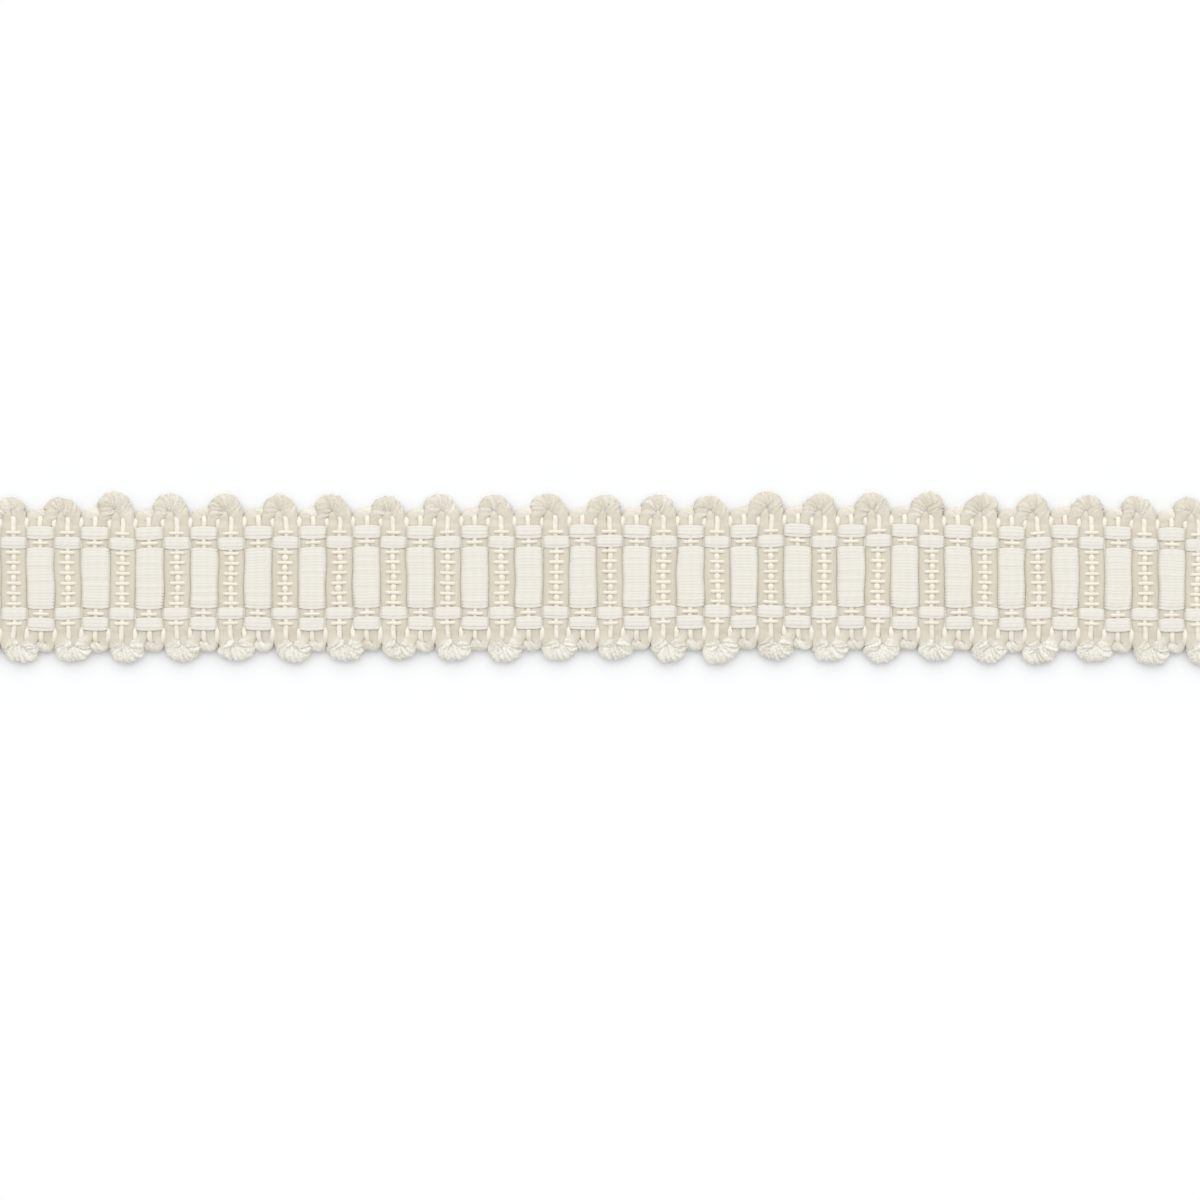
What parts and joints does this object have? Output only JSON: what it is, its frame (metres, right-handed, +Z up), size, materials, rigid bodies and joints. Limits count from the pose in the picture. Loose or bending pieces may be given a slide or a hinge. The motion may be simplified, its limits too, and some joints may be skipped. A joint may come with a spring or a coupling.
{
  "type": "length of woven gimp trim",
  "caption": "Narrow woven gimp braid laid flat: smooth panels between raised weft ribs, rows of small blocks along each side, and corded loops at both edges.",
  "frame": {"origin": "under the middle of the trim, on its flat underside", "axes": "+X along the trim, +Y across it to the far looped edge, +Z up, out of its face"},
  "size_m": [0.1214, 0.0163, 0.0015],
  "materials": {
    "matte_cotton": "matte two-ply cotton warp, warm white",
    "shiny_rayon": "bright rayon warp, pale cream with a silky lustre",
    "thick_cord": "soft thick twisted weft cord, pale beige, low sheen",
    "loop_cord": "the same cord where it turns back as loops, its plies opened out, soft sheen",
    "thin_cord": "thin weft cord, cream"
  },
  "bodies": {
    "root": {"woven_band": "matte_cotton", "loop_edge_far": "loop_cord", "loop_edge_near": "loop_cord"}
  },
  "joints": []
}
